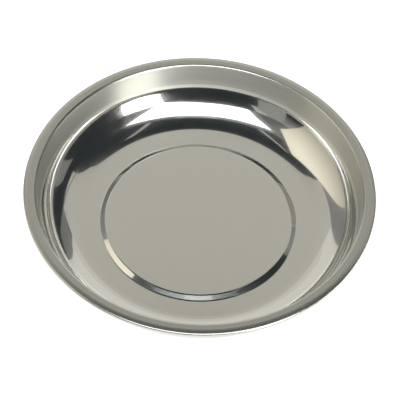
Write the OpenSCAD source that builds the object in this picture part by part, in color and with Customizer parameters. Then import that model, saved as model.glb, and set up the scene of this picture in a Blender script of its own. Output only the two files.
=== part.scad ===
// Magnetic parts tray: a pressed steel dish on a rubber-covered ring magnet, in millimetres.
// The origin is the centre of the rubber face that the tray rests on, with +Z up.

/* [Rim] */
// Outer diameter of the dish over its turned-down edge
rim_d = 150; // [140:1:180]
// Width of the lip, from the turned-down edge to the top of the wall
lip_w = 5.1; // [3.5:0.1:7]
// How far the lip falls from its inner corner to its outer corner
lip_fall = 0.7; // [0.3:0.1:1.5]
// Bend radius at the lip's inner corner
lip_inner_bend = 1.7; // [1:0.1:2.5]
// Bend radius at the lip's outer corner
lip_outer_bend = 0.9; // [0.8:0.1:1.2]
// Height of the turned-down edge
hem_h = 1.3; // [1.1:0.1:4]

/* [Dish] */
// Thickness of the sheet
sheet = 0.6; // [0.4:0.05:0.7]
// Depth from the lip's inner corner to the floor
dish_depth = 23.9; // [20:0.1:30]
// Height of the wall, from the crease at its foot up to the lip's inner corner
wall_h = 12.9; // [9:0.1:15]
// How far the wall leans in from the lip to the crease
wall_lean = 1.9; // [1:0.1:3.5]
// Bend radius at the crease between the wall and the bowl
wall_bend = 2; // [0.8:0.1:3]
// How far the bowl leans in from the crease to the corner that it makes with the floor
bowl_lean = 5.6; // [3:0.1:8]
// Radius of the wide bend between the bowl and the floor
bowl_bend = 19.2; // [10:0.1:24]
// How far the raised plateau's top reaches past the rubber boot under it
plateau_margin = 1; // [0.6:0.1:2.5]
// Height of the plateau over the floor
plateau_h = 0.9; // [0.6:0.1:1.5]
// Width of the slope round the plateau
plateau_slope_w = 2.4; // [2:0.1:3.5]
// Bend radius at the plateau's edge and at the foot of its slope
plateau_bend = 2; // [1:0.1:3.5]

/* [Magnet base] */
// Diameter of the ring magnet
magnet_d = 72; // [60:1:84]
// Diameter of the magnet's bore
magnet_bore = 32; // [28:1:36]
// Height of the magnet
magnet_h = 10; // [9:0.5:14]
// Chamfer on the magnet's edges
magnet_chamfer = 0.8; // [0.3:0.1:1.2]
// Diameter of the steel backing plate
plate_d = 66; // [56:1:80]
// Thickness of the backing plate
plate_h = 2; // [1.5:0.1:3]
// Chamfer on the backing plate's rim
plate_chamfer = 0.4; // [0.1:0.1:0.6]
// Thickness of the boot's wall at its top
boot_wall = 3.35; // [2.5:0.05:5]
// How much smaller the boot's radius is at the bottom than at the top
boot_draft = 0.6; // [0:0.1:1]
// Thickness of the boot's floor under the magnet
boot_floor = 2; // [1.6:0.1:4]
// Round on the boot's bottom edge
boot_edge = 1.4; // [0.5:0.1:1.6]
// Wall of the boot's collar inside the magnet's bore
collar_wall = 1.8; // [1.2:0.1:2.4]
// Height of the collar above the boot's floor
collar_h = 4; // [2:0.5:6]
// Number of grip grooves in the resting face
groove_count = 3; // [1:1:4]
// Width of a grip groove
groove_w = 1.6; // [1:0.1:2]
// Depth of a grip groove
groove_depth = 0.6; // [0.3:0.1:0.9]

/* [Fasteners] */
// Thread diameter of the weld stud
stud_d = 6; // [5:0.5:6]
// Diameter of the weld collar at the stud's root
weld_d = 8.6; // [8:0.1:10]
// Height of the weld collar
weld_h = 0.8; // [0.4:0.1:1]
// Length of stud that stands out under the nut
stud_end = 1.2; // [0.8:0.1:1.6]
// Chamfer on the stud's free end
stud_chamfer = 0.7; // [0.3:0.1:0.8]
// Outer diameter of the flat washer
washer_d = 18; // [14:0.5:20]
// Thickness of the flat washer
washer_h = 1.6; // [1:0.1:1.6]
// Outer diameter of the spring washer
spring_d = 11.8; // [10:0.1:12.2]
// Thickness of the spring washer
spring_h = 1.6; // [1.2:0.1:1.6]
// Width of the split in the spring washer
split_w = 0.9; // [0.5:0.1:1.5]
// Slant of the split from upright, in degrees
split_slant = 25; // [0:1:35]
// Width of the nut across its flats
nut_flats = 10; // [9:0.5:11]
// Height of the nut
nut_h = 5; // [4:0.1:5]
// Slope of the bevel on the nut's corners, in degrees
nut_bevel = 30; // [15:1:40]
// Chamfer at both ends of the nut's bore
nut_chamfer = 0.5; // [0.2:0.1:0.8]

/* [Hidden] */

$fn = 96;
// Largest turn, in degrees, between two points of a bend
bend_step = 4;
// How far a cut runs past the faces that it opens
overrun = 1;
// Gap round a piece that fits inside another
fit_gap = 0.15;
// Gap round the stud in its washers, nut and plate
stud_gap = 0.2;
// Most of its room, between the bends next to it, that the wide bend takes up
bend_room_share = 0.98;

// Heights of the stack, from the resting face up
magnet_top = boot_floor + magnet_h;
base_top = magnet_top + plate_h;
washer_bottom = magnet_top - washer_h;
spring_bottom = washer_bottom - spring_h;
nut_bottom = spring_bottom - nut_h;
stud_bottom = nut_bottom - stud_end;

// Radii of the base, from the magnet out
magnet_r = magnet_d / 2;
plate_r = plate_d / 2;
boot_r = max(magnet_r, plate_r) + fit_gap + boot_wall;
stud_hole_r = stud_d / 2 + stud_gap;
collar_r = magnet_bore / 2 - fit_gap;

// Heights and radii of the dish's upper face
plateau_z = base_top + sheet;
floor_z = plateau_z - plateau_h;
lip_z = floor_z + dish_depth;
rim_r = rim_d / 2;
lip_r = rim_r - lip_w;
crease_r = lip_r - wall_lean;
corner_r = crease_r - bowl_lean;
plateau_r = boot_r + plateau_margin;
slope_foot_r = plateau_r + plateau_slope_w;

// The wide bend, which stays inside the floor and the bowl that it joins
bowl_h = dish_depth - wall_h;
bowl_slope = atan2(bowl_h, bowl_lean);
wall_slope = atan2(wall_h, wall_lean);
plateau_slope = atan2(plateau_h, plateau_slope_w);
floor_room = corner_r - slope_foot_r - plateau_bend * tan(plateau_slope / 2);
bowl_room = norm([bowl_lean, bowl_h]) - wall_bend * tan(abs(wall_slope - bowl_slope) / 2);
wide_bend = min(bowl_bend, bend_room_share * min(floor_room, bowl_room) / tan(bowl_slope / 2));

// Unit vector along v
function unit(v) = v / norm(v);

// The vector v turned a quarter turn to the left
function left(v) = [-v.y, v.x];

// The vector v turned to the left by an angle
function turned(v, angle) = v * cos(angle) + left(v) * sin(angle);

// Signed turn from direction u to direction v
function turn(u, v) = atan2(u.x * v.y - u.y * v.x, u.x * v.x + u.y * v.y);

// Points of a bend of radius r at corner p, each with the normal on the left of the path
function bend(p, before, after, r) =
  let (u = unit(p - before), v = unit(after - p), angle = turn(u, v), side = sign(angle))
  let (centre = p - u * r * tan(abs(angle) / 2) + left(u) * r * side)
  let (count = max(1, ceil(abs(angle) / bend_step)))
  [for (i = [0:count]) let (n = turned(left(u), angle * i / count)) [centre - n * r * side, n]];

// Points of an open path through corners, each with its normal; radii are given for the inner corners
function bent_path(corners, radii) =
  let (last = len(corners) - 1)
  [
    [corners[0], left(unit(corners[1] - corners[0]))],
    for (i = [1:last - 1]) each bend(corners[i], corners[i - 1], corners[i + 1], radii[i - 1]),
    [corners[last], left(unit(corners[last] - corners[last - 1]))]
  ];

// Outline of a sheet of the given thickness whose upper face is the path
function sheet_outline(path, thickness) = [
  for (i = [0:len(path) - 1]) path[i][0],
  for (i = [len(path) - 1:-1:0]) path[i][0] - path[i][1] * thickness
];

// Rectangle in the plane of the profile, from its inner to its outer radius, with all corners chamfered
module chamfered_section(inner, outer, bottom, top, chamfer) {
  polygon([
    [inner + chamfer, bottom],
    [outer - chamfer, bottom],
    [outer, bottom + chamfer],
    [outer, top - chamfer],
    [outer - chamfer, top],
    [inner + chamfer, top],
    [inner, top - chamfer],
    [inner, bottom + chamfer]
  ]);
}

// Ring with plain edges
module ring(inner, outer, bottom, height) {
  translate([0, 0, bottom])
    difference() {
      cylinder(r = outer, h = height);
      translate([0, 0, -overrun]) cylinder(r = inner, h = height + 2 * overrun);
    }
}

// Pressed dish, from the middle of the plateau out to the turned-down edge
module dish() {
  corners = [
    [0, plateau_z],
    [plateau_r, plateau_z],
    [slope_foot_r, floor_z],
    [corner_r, floor_z],
    [crease_r, lip_z - wall_h],
    [lip_r, lip_z],
    [rim_r, lip_z - lip_fall],
    [rim_r, lip_z - lip_fall - hem_h]
  ];
  radii = [plateau_bend, plateau_bend, wide_bend, wall_bend, lip_inner_bend, lip_outer_bend];
  color([0.76, 0.75, 0.71])
    rotate_extrude() polygon(sheet_outline(bent_path(corners, radii), sheet));
}

// Threaded stud, welded under the plateau by its collar
module weld_stud() {
  shank_r = stud_d / 2;
  color([0.66, 0.66, 0.64])
    rotate_extrude()
      polygon([
        [0, stud_bottom],
        [shank_r - stud_chamfer, stud_bottom],
        [shank_r, stud_bottom + stud_chamfer],
        [shank_r, base_top - weld_h],
        [weld_d / 2, base_top],
        [0, base_top]
      ]);
}

// Steel plate between the dish and the magnet, countersunk round the weld
module backing_plate() {
  color([0.55, 0.56, 0.56])
    difference() {
      rotate_extrude() chamfered_section(stud_hole_r, plate_r, magnet_top, base_top, plate_chamfer);
      translate([0, 0, base_top - weld_h - stud_gap])
        cylinder(r = weld_d / 2 + stud_gap, h = weld_h + stud_gap + overrun);
    }
}

// Ferrite ring, bonded under the plate
module ring_magnet() {
  color([0.22, 0.22, 0.23])
    rotate_extrude() chamfered_section(magnet_bore / 2, magnet_r, boot_floor, magnet_top, magnet_chamfer);
}

// Rubber cover round the magnet, with a lip over its rim, a collar in its bore and a grooved face below
module rubber_boot() {
  collar_in = collar_r - collar_wall;
  foot_r = boot_r - boot_draft;
  cavity_r = magnet_r + fit_gap;
  mouth_r = plate_r + fit_gap;
  edge = bend([foot_r, 0], [collar_in, 0], [boot_r, base_top], boot_edge);
  land_w = foot_r - boot_edge - collar_in;
  groove_pitch = land_w / (groove_count + 1);
  color([0.1, 0.1, 0.1])
    difference() {
      rotate_extrude()
        polygon([
          [collar_in, 0],
          for (p = edge) p[0],
          [boot_r, base_top],
          [mouth_r, base_top],
          [mouth_r, magnet_top],
          [cavity_r, magnet_top],
          [cavity_r, boot_floor],
          [collar_r, boot_floor],
          [collar_r, boot_floor + collar_h],
          [collar_in, boot_floor + collar_h]
        ]);
      for (i = [1:groove_count])
        ring(
          collar_in + groove_pitch * i - groove_w / 2,
          collar_in + groove_pitch * i + groove_w / 2,
          -overrun,
          overrun + groove_depth
        );
    }
}

// Wide washer that spreads the nut's load over the plate
module flat_washer() {
  color([0.7, 0.7, 0.68]) ring(stud_hole_r, washer_d / 2, washer_bottom, washer_h);
}

// Split ring that keeps the nut from working loose
module spring_washer() {
  color([0.6, 0.6, 0.58])
    difference() {
      ring(stud_hole_r, spring_d / 2, spring_bottom, spring_h);
      translate([0, 0, spring_bottom + spring_h / 2])
        rotate([split_slant, 0, 0])
          translate([0, -split_w / 2, -spring_h - overrun])
            cube([spring_d / 2 + overrun, split_w, 2 * spring_h + 2 * overrun]);
    }
}

// Hexagon nut, with the corners turned off on both faces and a chamfered bore
module hex_nut() {
  flat_r = nut_flats / 2;
  hex_r = flat_r / cos(30);
  turned_r = 2 * hex_r - flat_r;
  turned_h = (turned_r - flat_r) * tan(nut_bevel);
  bore_r = stud_hole_r;
  nut_top = nut_bottom + nut_h;
  color([0.72, 0.72, 0.7])
    intersection() {
      translate([0, 0, nut_bottom]) cylinder(r = hex_r, h = nut_h, $fn = 6);
      rotate_extrude()
        polygon([
          [bore_r + nut_chamfer, nut_bottom],
          [flat_r, nut_bottom],
          [turned_r, nut_bottom + turned_h],
          [turned_r, nut_top - turned_h],
          [flat_r, nut_top],
          [bore_r + nut_chamfer, nut_top],
          [bore_r, nut_top - nut_chamfer],
          [bore_r, nut_bottom + nut_chamfer]
        ]);
    }
}

dish();
weld_stud();
backing_plate();
ring_magnet();
rubber_boot();
flat_washer();
spring_washer();
hex_nut();
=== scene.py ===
"""Looks of the magnetic parts tray: the steel dish, its magnet base and a plain studio, in metres."""

import math

import bpy
from mathutils import Matrix, Vector


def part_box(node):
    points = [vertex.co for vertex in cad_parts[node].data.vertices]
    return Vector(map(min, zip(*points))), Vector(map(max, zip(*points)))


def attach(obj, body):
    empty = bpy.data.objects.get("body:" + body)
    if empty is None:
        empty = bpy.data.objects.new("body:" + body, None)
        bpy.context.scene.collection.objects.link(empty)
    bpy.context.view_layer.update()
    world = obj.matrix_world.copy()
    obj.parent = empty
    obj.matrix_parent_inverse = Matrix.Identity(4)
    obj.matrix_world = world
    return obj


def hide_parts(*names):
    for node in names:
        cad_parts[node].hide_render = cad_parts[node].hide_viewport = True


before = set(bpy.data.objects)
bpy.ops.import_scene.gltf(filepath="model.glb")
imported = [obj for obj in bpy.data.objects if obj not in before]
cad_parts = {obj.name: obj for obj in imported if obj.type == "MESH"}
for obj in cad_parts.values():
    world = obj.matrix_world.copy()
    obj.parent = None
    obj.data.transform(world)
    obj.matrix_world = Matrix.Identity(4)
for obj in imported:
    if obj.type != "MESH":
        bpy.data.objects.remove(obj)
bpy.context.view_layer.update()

# Sizes of the dish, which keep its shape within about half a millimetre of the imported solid
SHEET = 0.0006
LIP_W = 0.0056
LIP_FALL = 0.0003
CROWN_W = 0.0037
CROWN_RISE = 0.00015
CROWN_BEND = 0.008
LIP_INNER_BEND = 0.0013
LIP_OUTER_BEND = 0.0009
HEM_H = 0.0013
DISH_DEPTH = 0.0235
WALL_H = 0.0104
WALL_LEAN = 0.0005
WALL_BEND = 0.012
BOWL_LEAN = 0.0066
BOWL_BEND = 0.0195
PLATEAU_R = 0.0405
PLATEAU_H = 0.0009
PLATEAU_SLOPE_W = 0.0024
PLATEAU_BEND = 0.002
# How far below the lip the polish starts
POLISH_DROP = 0.0127
# How far below the lip the wall's foot starts, whose lighter, warmer colour is a painted sheen
FOOT_DROP = 0.0112
# Steps of the path, down from the lip's top, that are finished like the lip
LIP_SATIN_STEPS = 20

# Fineness of the turned mesh
TURN_STEPS = 256
BEND_STEP = math.radians(3)
# Points that agree to this many decimals are one point
WELD_DIGITS = 8
WELD_LENGTH = 10 ** -WELD_DIGITS


def left(v):
    """The vector v turned a quarter turn to the left."""
    return Vector((-v.y, v.x))


def bend(corner, before, after, radius):
    """Points of a bend at a corner, each with the normal on the left of the path."""
    into = (corner - before).normalized()
    out = (after - corner).normalized()
    angle = math.atan2(into.x * out.y - into.y * out.x, into.dot(out))
    side = math.copysign(1, angle)
    centre = corner - into * radius * math.tan(abs(angle) / 2) + left(into) * radius * side
    count = max(1, math.ceil(abs(angle) / BEND_STEP))
    points = []
    for i in range(count + 1):
        normal = Matrix.Rotation(angle * i / count, 2) @ left(into)
        points.append((centre - normal * radius * side, normal))
    return points


def bent_path(corners, radii):
    """Open path through corners as points with normals; radii are given for the inner corners."""
    corners = [Vector(c) for c in corners]
    path = [(corners[0], left((corners[1] - corners[0]).normalized()))]
    for i, radius in enumerate(radii, start=1):
        path += bend(corners[i], corners[i - 1], corners[i + 1], radius)
    path.append((corners[-1], left((corners[-1] - corners[-2]).normalized())))
    return path


def turned(flat, step):
    """A point or normal of a profile, carried round the axis by a number of steps."""
    angle = 2 * math.pi * step / TURN_STEPS
    return (flat.x * math.cos(angle), flat.x * math.sin(angle), flat.y)


def lathe(name, strips):
    """Turns strips of profile about Z; a strip is a material and a path of points with normals."""
    verts = []
    rings = {}

    def ring(point):
        """Index of the first vertex that a point makes, and whether it makes a whole ring."""
        key = (round(point.x, WELD_DIGITS), round(point.y, WELD_DIGITS))
        whole = key[0] > 0
        if key not in rings:
            rings[key] = len(verts)
            verts.extend(turned(point, i) for i in range(TURN_STEPS if whole else 1))
        return rings[key], whole

    faces = []
    normals = []
    materials = []
    slots = []
    for material, path in strips:
        if material not in materials:
            materials.append(material)
        for (start, start_normal), (end, end_normal) in zip(path, path[1:]):
            if (start - end).length < WELD_LENGTH:
                continue
            a, a_whole = ring(start)
            b, b_whole = ring(end)
            for i in range(TURN_STEPS):
                j = (i + 1) % TURN_STEPS
                corners = [
                    (a + i if a_whole else a, start_normal, i),
                    (b + i if b_whole else b, end_normal, i),
                ]
                if b_whole:
                    corners.append((b + j, end_normal, j))
                if a_whole:
                    corners.append((a + j, start_normal, j))
                faces.append([vertex for vertex, _, _ in corners])
                normals += [turned(normal, step) for _, normal, step in corners]
                slots.append(materials.index(material))
    mesh = bpy.data.meshes.new(name)
    mesh.from_pydata(verts, [], faces)
    for material in materials:
        mesh.materials.append(material)
    mesh.polygons.foreach_set("material_index", slots)
    mesh.polygons.foreach_set("use_smooth", [True] * len(faces))
    mesh.normals_split_custom_set(normals)
    piece = bpy.data.objects.new(name, mesh)
    bpy.context.scene.collection.objects.link(piece)
    return piece


# Noise in the steel, in cells to the metre: pressed waves, patches of haze, turned lines and fine grain
WAVE_CELLS = 45.0
HAZE_CELLS = 160.0
LINE_CELLS = 900.0
GRAIN_CELLS = 1500.0
# Limits between which most values of a noise lie
NOISE_LOW = 0.3
NOISE_HIGH = 0.7
# Part of a turn that sets the satin's highlights across its grain
STRETCH_TURN = 0.25


def new_material(name):
    """A material with its node tree and its shader."""
    material = bpy.data.materials.new(name)
    material.use_nodes = True
    return material, material.node_tree, material.node_tree.nodes["Principled BSDF"]


def node(tree, kind, **inputs):
    """A node with the named inputs set or linked; i0, i1 and so on name an input by its place."""
    made = tree.nodes.new(kind)
    for key, value in inputs.items():
        socket = made.inputs[int(key[1:])] if key[0] == "i" and key[1:].isdigit() else made.inputs[key]
        if isinstance(value, bpy.types.NodeSocket):
            tree.links.new(value, socket)
        else:
            socket.default_value = value
    return made


def math_node(tree, operation, a, b):
    """A math node's result."""
    made = node(tree, "ShaderNodeMath", i0=a, i1=b)
    made.operation = operation
    return made.outputs[0]


def turned_lines(tree, cells):
    """Noise that runs round the axis in fine rings, as a lathe or a polishing wheel leaves it."""
    place = node(tree, "ShaderNodeTexCoord").outputs["Object"]
    split = node(tree, "ShaderNodeSeparateXYZ", Vector=place).outputs
    flat = node(tree, "ShaderNodeCombineXYZ", X=split["X"], Y=split["Y"]).outputs[0]
    length = node(tree, "ShaderNodeVectorMath", i0=flat)
    length.operation = "LENGTH"
    rings = node(tree, "ShaderNodeCombineXYZ", X=length.outputs["Value"], Y=split["Z"]).outputs[0]
    return node(tree, "ShaderNodeTexNoise", Vector=rings, Scale=cells, Detail=2.0).outputs["Fac"]


def blotches(tree, cells, detail=3.0):
    """Soft noise in all directions."""
    place = node(tree, "ShaderNodeTexCoord").outputs["Object"]
    return node(tree, "ShaderNodeTexNoise", Vector=place, Scale=cells, Detail=detail).outputs["Fac"]


def spread(tree, value, low, high):
    """A noise value spread between two limits."""
    made = node(tree, "ShaderNodeMapRange", Value=value)
    made.inputs["From Min"].default_value = NOISE_LOW
    made.inputs["From Max"].default_value = NOISE_HIGH
    made.inputs["To Min"].default_value = low
    made.inputs["To Max"].default_value = high
    return made.outputs["Result"]


def bump(tree, shader, layers):
    """Bumps on a shader, one over another; a layer is a height and its depth in metres."""
    normal = None
    for height, depth in layers:
        made = node(tree, "ShaderNodeBump", Height=height, Distance=depth)
        if normal is not None:
            tree.links.new(normal, made.inputs["Normal"])
        normal = made.outputs["Normal"]
    tree.links.new(normal, shader.inputs["Normal"])


def polished_steel(name, colour, mirror_rough, haze_rough, haze_share, wave_depth, line_depth):
    """Mirror-polished stainless steel with a faint haze round bright reflections."""
    material, tree, shader = new_material(name)
    haze = node(tree, "ShaderNodeBsdfPrincipled")
    for lobe, rough in ((shader, mirror_rough), (haze, haze_rough)):
        lobe.inputs["Metallic"].default_value = 1.0
        lobe.inputs["Base Color"].default_value = (*colour, 1)
        tree.links.new(spread(tree, blotches(tree, HAZE_CELLS), *rough), lobe.inputs["Roughness"])
        waves = blotches(tree, WAVE_CELLS, detail=1.0)
        bump(tree, lobe, [(waves, wave_depth), (turned_lines(tree, LINE_CELLS), line_depth)])
    mix = node(tree, "ShaderNodeMixShader", Fac=haze_share, i1=shader.outputs[0], i2=haze.outputs[0])
    tree.links.new(mix.outputs[0], tree.nodes["Material Output"].inputs["Surface"])
    return material


def satin_steel(name, colour, rough, stretch, wave_depth, line_depth):
    """Stainless steel with a fine grain turned round the axis, which draws highlights out across it."""
    material, tree, shader = new_material(name)
    shader.inputs["Metallic"].default_value = 1.0
    shader.inputs["Base Color"].default_value = (*colour, 1)
    shader.inputs["Anisotropic"].default_value = stretch
    shader.inputs["Anisotropic Rotation"].default_value = STRETCH_TURN
    grain = node(tree, "ShaderNodeTangent")
    grain.direction_type = "RADIAL"
    grain.axis = "Z"
    tree.links.new(grain.outputs[0], shader.inputs["Tangent"])
    tree.links.new(spread(tree, turned_lines(tree, GRAIN_CELLS), *rough), shader.inputs["Roughness"])
    waves = blotches(tree, WAVE_CELLS, detail=1.0)
    bump(tree, shader, [(waves, wave_depth), (turned_lines(tree, LINE_CELLS), line_depth)])
    return material


def grained(name, colour, metal, rough, mottle_cells, grain_cells, grain_depth):
    """A finish with a mottled sheen and an even grain, for the pieces of the base."""
    material, tree, shader = new_material(name)
    shader.inputs["Metallic"].default_value = metal
    shader.inputs["Base Color"].default_value = (*colour, 1)
    tree.links.new(spread(tree, blotches(tree, mottle_cells), *rough), shader.inputs["Roughness"])
    bump(tree, shader, [(blotches(tree, grain_cells), grain_depth)])
    return material


# Finishes of the dish: polished floor and bowl, burnished foot of the wall with a painted sheen in its
# colour, drawn wall, satin elsewhere
polished = polished_steel(
    "polished_steel",
    colour=(0.66, 0.655, 0.63),
    mirror_rough=(0.03, 0.06),
    haze_rough=(0.16, 0.2),
    haze_share=0.33,
    wave_depth=4e-6,
    line_depth=1e-7,
)
# The burnished foot's rougher grain is its finish; its colour, lighter and warmer than the drawn wall's,
# is a painted sheen of the light that the foot reflects
burnished_painted_sheen = satin_steel(
    "burnished_steel_painted_sheen",
    colour=(0.71, 0.705, 0.65),
    rough=(0.52, 0.56),
    stretch=0.8,
    wave_depth=3e-6,
    line_depth=1.5e-5,
)
drawn = satin_steel(
    "drawn_steel",
    colour=(0.57, 0.57, 0.53),
    rough=(0.48, 0.52),
    stretch=0.85,
    wave_depth=3e-6,
    line_depth=1.5e-5,
)
satin = satin_steel(
    "satin_steel",
    colour=(0.51, 0.51, 0.48),
    rough=(0.25, 0.29),
    stretch=0.3,
    wave_depth=3e-6,
    line_depth=5e-7,
)

# Finishes of the base: zinc plating, dull spring steel, sintered ferrite and matt moulded rubber
plated = grained(
    "plated_steel",
    colour=(0.68, 0.68, 0.69),
    metal=1.0,
    rough=(0.25, 0.4),
    mottle_cells=700.0,
    grain_cells=3000.0,
    grain_depth=0.00001,
)
spring = grained(
    "spring_steel",
    colour=(0.4, 0.4, 0.4),
    metal=1.0,
    rough=(0.35, 0.5),
    mottle_cells=700.0,
    grain_cells=3000.0,
    grain_depth=0.00001,
)
ferrite = grained(
    "ferrite",
    colour=(0.07, 0.07, 0.075),
    metal=0.0,
    rough=(0.45, 0.7),
    mottle_cells=900.0,
    grain_cells=2500.0,
    grain_depth=0.00006,
)
rubber = grained(
    "black_rubber",
    colour=(0.025, 0.025, 0.026),
    metal=0.0,
    rough=(0.55, 0.75),
    mottle_cells=300.0,
    grain_cells=4000.0,
    grain_depth=0.00004,
)

# The dish, laid out from the frame's rim and from the plate that it rests on
rim_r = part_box("dish")[1].x
lip_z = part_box("backing_plate")[1].z + SHEET - PLATEAU_H + DISH_DEPTH
floor_z = lip_z - DISH_DEPTH
lip_r = rim_r - LIP_W
edge_z = lip_z - LIP_FALL
upper = bent_path(
    [
        (0, floor_z + PLATEAU_H),
        (PLATEAU_R, floor_z + PLATEAU_H),
        (PLATEAU_R + PLATEAU_SLOPE_W, floor_z),
        (lip_r - WALL_LEAN - BOWL_LEAN, floor_z),
        (lip_r - WALL_LEAN, lip_z - WALL_H),
        (lip_r, lip_z - CROWN_RISE),
        (lip_r + CROWN_W, lip_z),
        (rim_r, edge_z),
        (rim_r, edge_z - HEM_H),
    ],
    [PLATEAU_BEND, PLATEAU_BEND, BOWL_BEND, WALL_BEND, LIP_INNER_BEND, CROWN_BEND, LIP_OUTER_BEND],
)
lower = [(point - normal * SHEET, -normal) for point, normal in reversed(upper)]
down = Vector((0, -1))
hem = [(upper[-1][0], down), (lower[0][0], down)]


def cut_wall(z):
    """The place in the upper path where the side passes a height, and the point there with its normal."""
    foot_r = PLATEAU_R + PLATEAU_SLOPE_W
    after = next(i for i, (point, _) in enumerate(upper) if point.x > foot_r and point.y > z)
    (start, start_normal), (end, end_normal) = upper[after - 1:after + 1]
    share = (z - start.y) / (end.y - start.y)
    return after, (start.lerp(end, share), start_normal.lerp(end_normal, share).normalized())


polish_after, polish_end = cut_wall(lip_z - POLISH_DROP)
foot_after, foot_end = cut_wall(lip_z - FOOT_DROP)
top = max(range(len(upper)), key=lambda i: upper[i][0].y)
satin_start = top - LIP_SATIN_STEPS
dish = lathe(
    "steel_dish",
    [
        (polished, upper[:polish_after] + [polish_end]),
        (burnished_painted_sheen, [polish_end] + upper[polish_after:foot_after] + [foot_end]),
        (drawn, [foot_end] + upper[foot_after:satin_start + 1]),
        (satin, upper[satin_start:]),
        (satin, hem),
        (satin, lower),
    ],
)
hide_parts("dish")
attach(dish, "root")

# The base keeps its solids, with their own finishes
FINISHES = {
    "weld_stud": plated,
    "backing_plate": plated,
    "ring_magnet": ferrite,
    "rubber_boot": rubber,
    "flat_washer": plated,
    "spring_washer": spring,
    "hex_nut": plated,
}
for name, material in FINISHES.items():
    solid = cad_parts[name].data
    solid.materials.clear()
    solid.materials.append(material)


def emission(name, colour, strength, fade):
    """A light-giving material; fade is the share of strength at the floor, and its gain per metre up."""
    material = bpy.data.materials.new(name)
    material.use_nodes = True
    tree = material.node_tree
    tree.nodes.clear()
    glow = node(tree, "ShaderNodeEmission", Color=(*colour, 1), Strength=strength)
    if fade is not None:
        floor_share, gain = fade
        place = node(tree, "ShaderNodeTexCoord").outputs["Object"]
        height = node(tree, "ShaderNodeSeparateXYZ", Vector=place).outputs["Z"]
        share = math_node(tree, "ADD", math_node(tree, "MULTIPLY", height, gain), floor_share)
        shown = math_node(tree, "MAXIMUM", math_node(tree, "MULTIPLY", share, strength), 0.0)
        tree.links.new(shown, glow.inputs["Strength"])
    out = node(tree, "ShaderNodeOutputMaterial")
    tree.links.new(glow.outputs[0], out.inputs["Surface"])
    return material


def card(name, corners, colour, strength, fade=None):
    """A studio card, unseen by the camera."""
    mesh = bpy.data.meshes.new(name)
    mesh.from_pydata(corners, [], [range(len(corners))])
    mesh.materials.append(emission(name, colour, strength, fade))
    made = bpy.data.objects.new(name, mesh)
    bpy.context.scene.collection.objects.link(made)
    made.visible_camera = False
    return made


def flag(name, corners, colour):
    """A dark card that only shows in reflections and takes no light away."""
    made = card(name, corners, colour, strength=1.0)
    made.visible_diffuse = False
    made.visible_shadow = False
    made.visible_transmission = False
    return made


def toward(from_zenith, bearing, distance):
    """A point in the studio, by degrees from straight up and degrees of bearing from the far side."""
    across = math.sin(math.radians(from_zenith))
    return distance * Vector((
        across * math.sin(math.radians(bearing)),
        across * math.cos(math.radians(bearing)),
        math.cos(math.radians(from_zenith)),
    ))


def square(half, z):
    """Corners of a level square about the axis."""
    return [(-half, -half, z), (half, -half, z), (half, half, z), (-half, half, z)]


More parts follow.
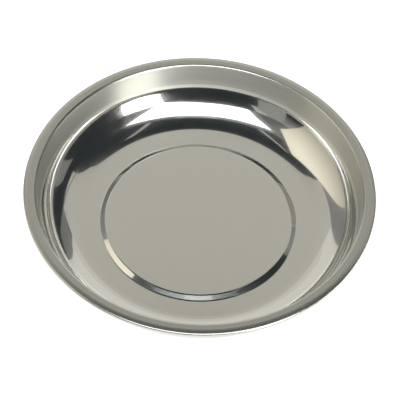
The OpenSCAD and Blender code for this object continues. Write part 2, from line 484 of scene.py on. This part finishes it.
# Studio cards that the bowl mirrors: distance, colour, strength, and corners as angles for toward
CARDS = {
    "softbox": (
        4.0, (1, 1, 1), 3.8,
        [(27, -108), (31, 103), (47, 144), (50, 151), (42, 180), (47, -147), (36, -136)],
    ),
    "softbox_edge": (
        4.0, (0.9, 0.97, 1), 0.6,
        [(8.6, -152), (4.8, -123), (8.4, 107), (11, 133)],
    ),
    "softbox_edge_left": (
        4.0, (0.85, 0.96, 1), 0.3,
        [(27, -108), (25, -97), (4.8, -123), (8.6, -152)],
    ),
    "softbox_edge_right": (
        4.0, (0.85, 0.96, 1), 0.16,
        [(11, 133), (8.4, 107), (28, 94), (31, 103)],
    ),
    "near_softbox": (
        3.8, (1, 0.99, 0.95), 6.2,
        [(51, 150), (48, 141), (53, 121), (79.5, 126), (79.5, 139), (76, 151)],
    ),
    "left_card": (
        4.0, (1, 0.945, 0.78), 0.93,
        [(87, -58), (39, -56), (25, -49), (28, -88), (41, -116), (60, -116), (89, -113)],
    ),
    "backdrop": (
        4.4, (1, 0.98, 0.9), 0.87,
        [(89, -40), (81, -40), (52, -39), (46, -23), (43.5, 0), (48, 23), (77, 28), (86, 29)],
    ),
    "backdrop_edge": (
        3.4, (1, 0.98, 0.9), 0.76,
        [(46, -23), (43.5, 0), (48, 23), (55, 25), (51.5, 0), (53, -24)],
    ),
    "ring_shade": (
        3.4, (1, 1, 1), 0.25,
        [(54.5, 43.5), (50, 49), (45, 55), (42.5, 58.5), (44, 60), (46.5, 56.5), (51.8, 50.2), (56, 45)],
    ),
    "far_horizon": (
        4.2, (1, 0.99, 0.93), 1.2,
        [(90, -36), (75, -36), (75, 26), (90, 26)],
    ),
    "far_ceiling": (
        4.6, (1, 0.98, 0.87), 0.62,
        [
            (52, -39), (46, -23), (43.5, 0), (48, 23), (56, 44),
            (51, 64), (32, 36), (32.5, 0), (31, -36), (39, -57),
        ],
    ),
    "left_grey": (
        4.8, (1, 1, 0.98), 0.28,
        [(87, -58), (89, -40), (52, -39), (39, -56)],
    ),
    "right_grey": (
        4.8, (1, 1, 0.98), 0.22,
        [(77, 28), (50, 23), (56, 44), (70, 37)],
    ),
    "right_wedge": (
        4.4, (1, 1, 0.96), 0.27,
        [(64, 62), (78, 60), (86, 70), (84, 76), (62, 77)],
    ),
    "right_horizon": (
        4.2, (1, 0.98, 0.93), 7.5,
        [(90, 76), (84, 78), (84, 112), (90, 112)],
    ),
    "near_left_card": (
        4.4, (1, 1, 0.95), 0.38,
        [(53, -124), (49, -142), (82, -147), (86, -128), (62, -124)],
    ),
    "near_left_streak": (
        4.3, (1, 1, 0.95), 0.62,
        [(51, -134), (49, -142), (62, -149), (62, -139)],
    ),
    "near_left_shade": (
        4.4, (1, 1, 0.95), 0.16,
        [(60, -116), (53, -116), (53, -124), (62, -124), (86, -128), (87, -114)],
    ),
    "left_glow": (
        4.2, (0.95, 1, 1), 0.15,
        [(28, -88), (24, -103), (36, -136), (47, -147), (49, -142), (53, -116), (41, -116)],
    ),
    "right_glow": (
        4.2, (1, 1, 1), 0.2,
        [(29, 107), (42, 113), (52, 122), (48, 141), (47, 144)],
    ),
    "left_line": (
        3.6, (1, 1, 1), 0.6,
        [(24, -43), (23, -41), (16, -93), (18, -92)],
    ),
    "right_line": (
        3.6, (1, 1, 1), 0.6,
        [(22, 29), (23, 32), (17, 90), (15, 90)],
    ),
}
# Cards that grow dimmer toward the floor: share of strength at the floor, and its gain per metre up
FADES = {
    "left_card": (0.5, 0.275),
    "near_left_shade": (-0.9, 1.2),
}
for name, (distance, colour, strength, angles) in CARDS.items():
    card(name, [toward(*pair, distance) for pair in angles], colour, strength, FADES.get(name))

# Dark walls and ceiling of the studio
DARK = (0.03, 0.036, 0.038)
ROOM_HALF = 6.0
ROOM_TOP = 5.0
wall_foot = square(ROOM_HALF, 0)
wall_head = square(ROOM_HALF, ROOM_TOP)
flag("top_flag", wall_head, DARK)
for i, side in enumerate(("near_flag", "right_flag", "far_flag", "left_flag")):
    j = (i + 1) % len(wall_foot)
    flag(side, [wall_foot[i], wall_foot[j], wall_head[j], wall_head[i]], DARK)

# The floor's size, drop below the tray, colour and lift toward white, and the strength of the world's fill
FLOOR_HALF = 4.0
FLOOR_DROP = 0.0002
FLOOR_COLOUR = (0.85, 0.85, 0.85)
FLOOR_LIFT = 0.62
WORLD_FILL = 0.3


def seen_directly(tree):
    """One for rays from the camera and for mirrored or bent ones, and zero for the rest."""
    path = node(tree, "ShaderNodeLightPath").outputs
    seen = math_node(tree, "MAXIMUM", path["Is Camera Ray"], path["Is Glossy Ray"])
    return math_node(tree, "MAXIMUM", seen, path["Is Transmission Ray"])


def pale_floor():
    """A pale floor that shows near white, keeps the tray's shadow and is clear from below."""
    material = bpy.data.materials.new("pale_floor")
    material.use_nodes = True
    tree = material.node_tree
    tree.nodes.clear()
    matt = node(tree, "ShaderNodeBsdfDiffuse", Color=(*FLOOR_COLOUR, 1))
    lift = math_node(tree, "MULTIPLY", seen_directly(tree), FLOOR_LIFT)
    glow = node(tree, "ShaderNodeEmission", Color=(1, 1, 1, 1), Strength=lift)
    both = node(tree, "ShaderNodeAddShader", i0=matt.outputs[0], i1=glow.outputs[0])
    back = node(tree, "ShaderNodeNewGeometry").outputs["Backfacing"]
    clear = node(tree, "ShaderNodeBsdfTransparent")
    mix = node(tree, "ShaderNodeMixShader", Fac=back, i1=both.outputs[0], i2=clear.outputs[0])
    out = node(tree, "ShaderNodeOutputMaterial")
    tree.links.new(mix.outputs[0], out.inputs["Surface"])
    return material


floor_mesh = bpy.data.meshes.new("floor")
floor_mesh.from_pydata(square(FLOOR_HALF, 0), [], [(0, 1, 2, 3)])
floor_mesh.materials.append(pale_floor())
floor = bpy.data.objects.new("floor", floor_mesh)
floor.location.z = -FLOOR_DROP
bpy.context.scene.collection.objects.link(floor)

# The world is white to look at and gives a soft fill
world = bpy.data.worlds.new("studio")
bpy.context.scene.world = world
world.use_nodes = True
background = world.node_tree.nodes["Background"]
background.inputs["Color"].default_value = (1, 1, 1, 1)
white = node(world.node_tree, "ShaderNodeMapRange", Value=seen_directly(world.node_tree))
white.inputs["To Min"].default_value = WORLD_FILL
world.node_tree.links.new(white.outputs["Result"], background.inputs["Strength"])

# The camera, at the photograph's angle; its lens and sensor are in millimetres
CAMERA_DISTANCE = 0.673
CAMERA_ELEVATION = math.radians(51.55)
CAMERA_ROLL = math.radians(3.32)
LENS_LENGTH = 142.6
SENSOR_WIDTH = 36
AIM = Vector((0.00025, -0.0072, edge_z))
rim_centre = Vector((0, 0, edge_z))
eye = rim_centre + CAMERA_DISTANCE * Vector((0, -math.cos(CAMERA_ELEVATION), math.sin(CAMERA_ELEVATION)))
lens = bpy.data.cameras.new("camera")
lens.sensor_width = SENSOR_WIDTH
lens.lens = LENS_LENGTH
camera = bpy.data.objects.new("camera", lens)
look = (AIM - eye).to_track_quat("-Z", "Y").to_matrix().to_4x4()
camera.matrix_world = Matrix.Translation(eye) @ look @ Matrix.Rotation(CAMERA_ROLL, 4, "Z")
bpy.context.scene.collection.objects.link(camera)
bpy.context.scene.camera = camera
bpy.context.scene.view_settings.view_transform = "Standard"
